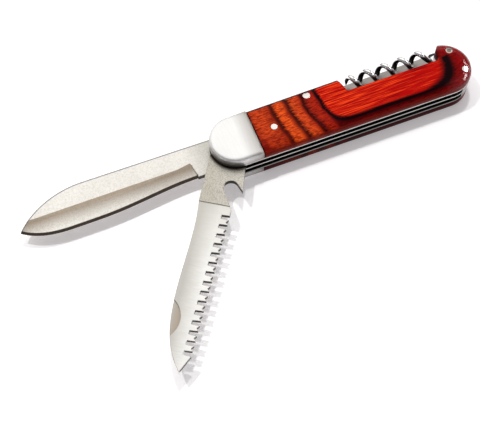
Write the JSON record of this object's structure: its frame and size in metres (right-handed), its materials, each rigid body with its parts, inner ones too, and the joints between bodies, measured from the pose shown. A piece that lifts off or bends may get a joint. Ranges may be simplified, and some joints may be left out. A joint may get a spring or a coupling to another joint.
{
  "type": "folding pocket knife",
  "caption": "Folding pocket knife: wood scales and steel bolsters hold a spear point blade, a wood saw with a bottle opener at its root, and a corkscrew folded into a notch in the back.",
  "frame": {"origin": "where the blade pivot's axis meets the rear face that lies on the table", "axes": "+X along the handle to the butt, +Y to the handle's back, +Z from the rear scale to the front scale"},
  "size_m": [0.1907, 0.0921, 0.0155],
  "materials": {
    "scale_wood": "lacquered",
    "bolster_steel": "satin",
    "liner_steel": "satin",
    "spring_steel": "satin",
    "pin_steel": "polished",
    "blade_steel": "polished",
    "saw_steel": "brushed",
    "worm_chrome": "polished"
  },
  "bodies": {
    "handle": {"front_scale": "scale_wood", "rear_scale": "scale_wood", "front_bolster": "bolster_steel", "rear_bolster": "bolster_steel", "front_liner": "liner_steel", "center_liner": "liner_steel", "rear_liner": "liner_steel", "main_spring": "spring_steel", "saw_spring": "spring_steel", "blade_pivot_pin": "pin_steel", "spring_pin": "pin_steel", "corkscrew_pin": "pin_steel", "butt_pin": "pin_steel", "front_scale_pin": "pin_steel", "rear_scale_pin": "pin_steel"},
    "main_blade_body": {"main_blade": "blade_steel"},
    "saw_blade_body": {"saw_blade": "saw_steel"},
    "corkscrew_body": {"corkscrew": "worm_chrome"}
  },
  "joints": [
    {"name": "main_blade_fold", "type": "hinge", "parent": "handle", "child": "main_blade_body", "pos_m": [0, 0, 0.0061], "axis": [0, 0, 1], "range_deg": [0, 176]},
    {"name": "saw_fold", "type": "hinge", "parent": "handle", "child": "saw_blade_body", "pos_m": [0, 0, 0.0094], "axis": [0, 0, 1], "range_deg": [-56.8, 121.2]},
    {"name": "corkscrew_swing", "type": "hinge", "parent": "handle", "child": "corkscrew_body", "pos_m": [0.0949, 0.0084, 0.0094], "axis": [0, 0, 1], "range_deg": [-90, 0]}
  ]
}
